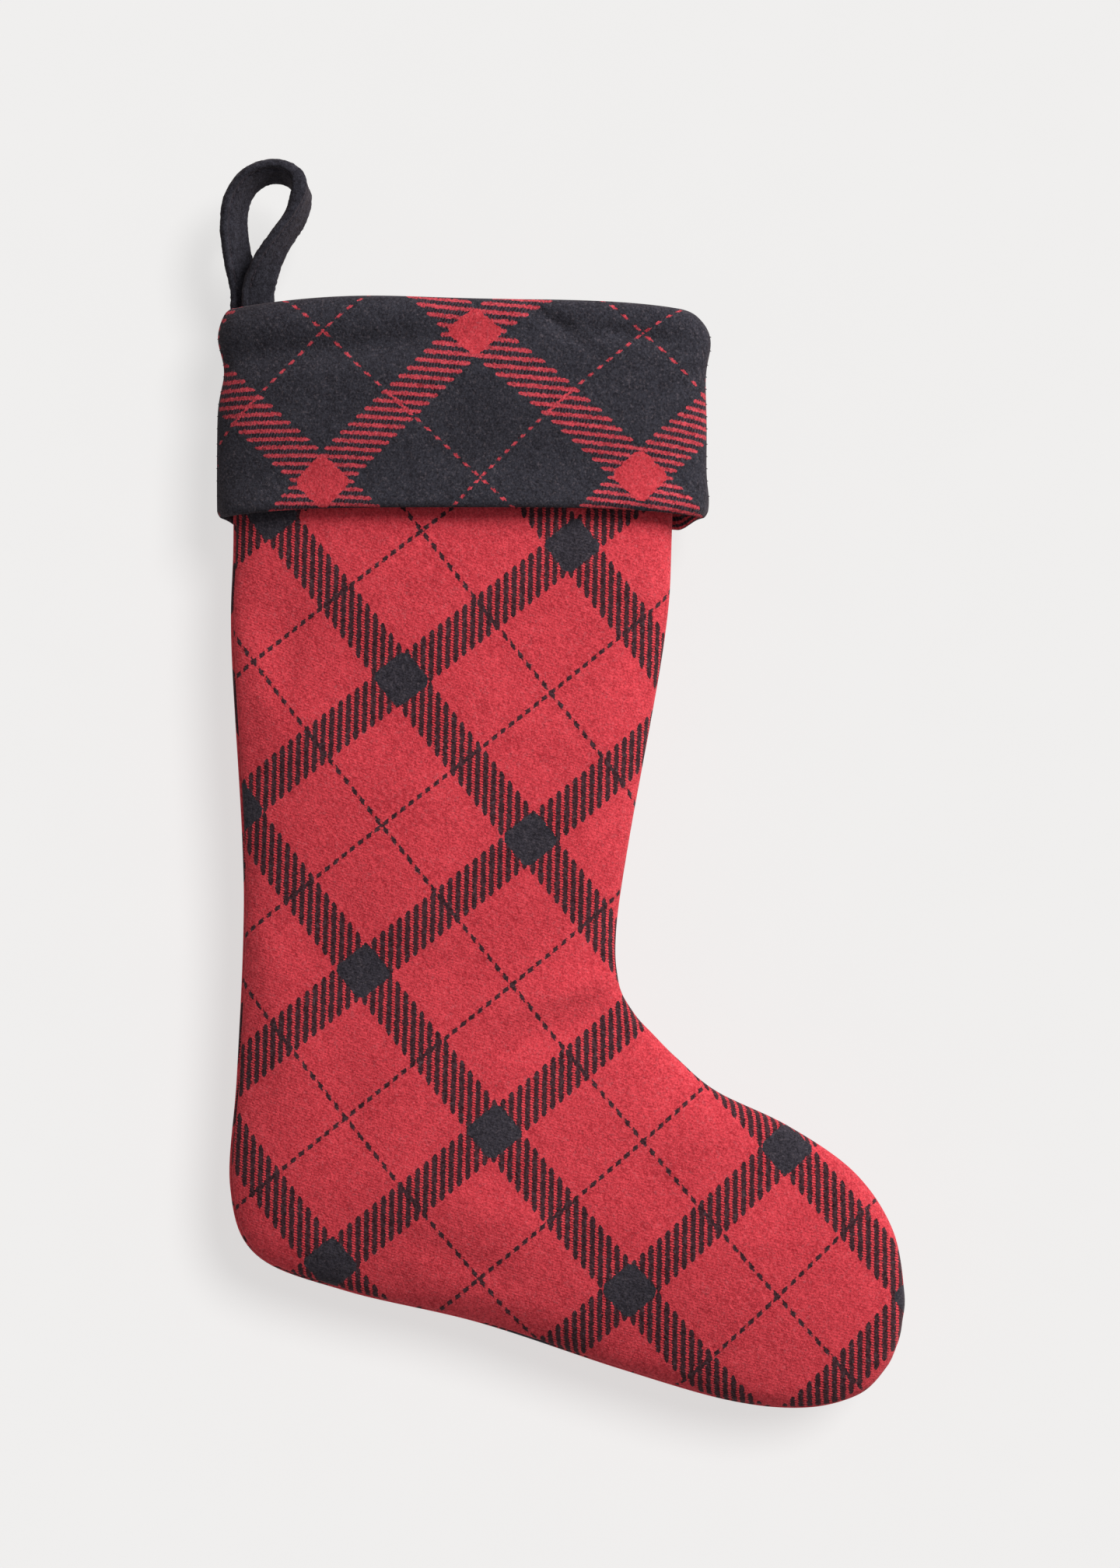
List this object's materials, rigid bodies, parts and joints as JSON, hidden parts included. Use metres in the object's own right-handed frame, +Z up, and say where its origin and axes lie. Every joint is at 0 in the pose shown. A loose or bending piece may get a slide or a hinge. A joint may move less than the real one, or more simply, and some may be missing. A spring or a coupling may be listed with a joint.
{
  "type": "hanging stocking",
  "caption": "Soft felt stocking with a turned-over cuff, an open mouth, a slanted foot and a twisted strap loop to hang it by.",
  "frame": {"origin": "the hang point: the inside of the top of the strap loop, where a hook carries it", "axes": "+Z up along the hanging leg, +X towards the toe, -Y out of the front face"},
  "size_m": [0.3152, 0.0436, 0.5723],
  "materials": {
    "leg_felt": "brushed felt, red with a charcoal diagonal plaid",
    "cuff_felt": "brushed felt, charcoal with a red diagonal plaid",
    "strap_felt": "plain charcoal felt",
    "lining": "plain dark red cotton",
    "dark_thread": "spun thread",
    "red_thread": "spun thread"
  },
  "bodies": {
    "loop": {"hanging_loop": "strap_felt", "loop_edge_stitching": "dark_thread"},
    "stocking": {"front_panel": "leg_felt", "back_panel": "leg_felt", "lining_front": "lining", "lining_back": "lining", "cuff_front": "cuff_felt", "cuff_back": "cuff_felt", "loop_tails": "strap_felt", "loop_bartack": "dark_thread", "side_seam_stitching": "red_thread", "cuff_side_stitching": "dark_thread", "mouth_seam_stitching": "dark_thread"}
  },
  "joints": [
    {"name": "strap_swing", "type": "hinge", "parent": "loop", "child": "stocking", "pos_m": [-0.01, 0, -0.05], "axis": [-1, 0, 0], "range_deg": [-3, 55]}
  ]
}
